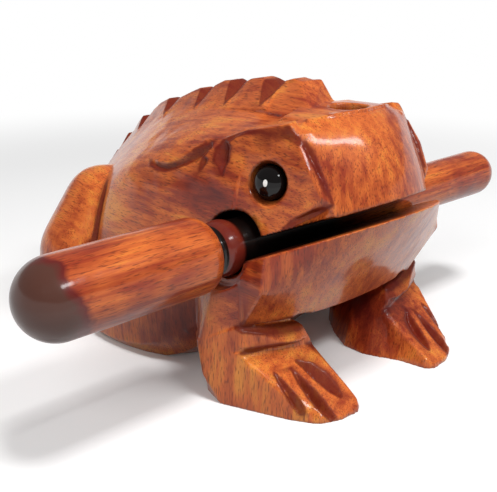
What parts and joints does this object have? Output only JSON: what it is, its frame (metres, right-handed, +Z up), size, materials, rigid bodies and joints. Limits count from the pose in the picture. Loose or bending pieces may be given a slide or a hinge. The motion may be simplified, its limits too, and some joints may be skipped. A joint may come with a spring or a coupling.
{
  "type": "frog guiro",
  "caption": "Carved wooden frog guiro: hollow frog body with a ridged back, slit mouth and sound hole, and its striker stick stored through the cheeks.",
  "frame": {"origin": "middle of the flat belly, on the surface the frog sits on", "axes": "+X along the stored stick towards its rod end, which is the frog's left; +Y towards the tail; +Z up"},
  "size_m": [0.142, 0.1123, 0.0646],
  "materials": {
    "lacquered_hardwood": "gloss",
    "lacquered_stick": "gloss",
    "black_bead": "gloss"
  },
  "bodies": {
    "root": {"frog_body": "lacquered_hardwood", "striker": "lacquered_stick", "eye_right": "black_bead", "eye_left": "black_bead"}
  },
  "joints": []
}
